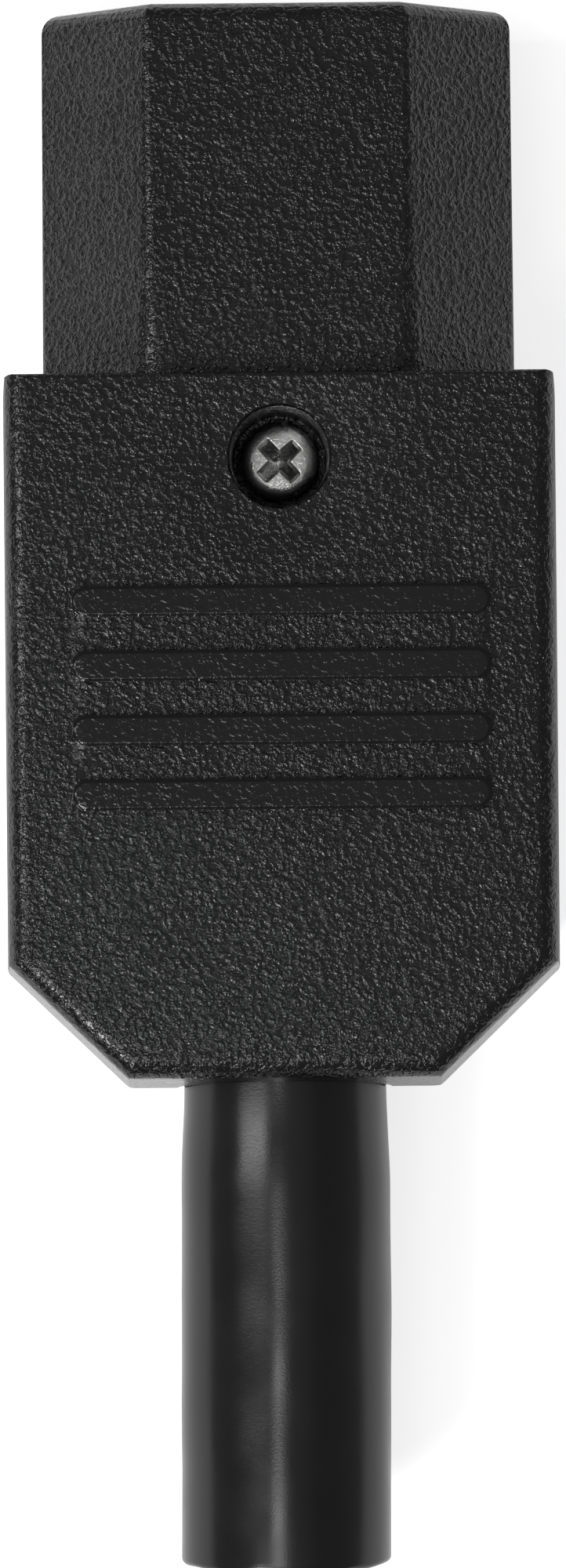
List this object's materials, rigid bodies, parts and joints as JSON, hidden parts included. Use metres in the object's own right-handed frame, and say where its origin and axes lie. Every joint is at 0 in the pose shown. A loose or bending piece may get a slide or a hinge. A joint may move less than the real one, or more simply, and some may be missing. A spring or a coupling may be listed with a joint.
{
  "type": "c13 power connector",
  "caption": "Rewireable C13 female power connector: six-sided nose with three contact slots, two-part housing with grip bars, recessed cover screw and soft cable sleeve.",
  "frame": {"origin": "centre of the bounding box in plan, on the surface that the lower grip bars rest on", "axes": "+Y along the connector towards the mating face of the nose, +Z out of the broad face with the screw recess, +X to the right"},
  "size_m": [0.0282, 0.079, 0.0202],
  "materials": {
    "shell_plastic": "black thermoplastic with a fine leather-like grain",
    "nose_plastic": "black thermoplastic with a fine grain",
    "clamp_plastic": "plain black moulded plastic",
    "sleeve_rubber": "soft black sleeve with a dull gloss",
    "contact_brass": "bright rolled brass",
    "plated_steel": "bright zinc-plated steel"
  },
  "bodies": {
    "root": {"bottom_shell": "shell_plastic", "top_cover": "shell_plastic", "nose_block": "nose_plastic", "line_contact": "contact_brass", "neutral_contact": "contact_brass", "earth_contact": "contact_brass", "line_terminal": "contact_brass", "neutral_terminal": "contact_brass", "earth_terminal": "contact_brass", "terminal_screws": "plated_steel", "cord_clamp": "clamp_plastic", "clamp_screws": "plated_steel", "housing_screw": "plated_steel", "cable_sleeve": "sleeve_rubber"}
  },
  "joints": []
}
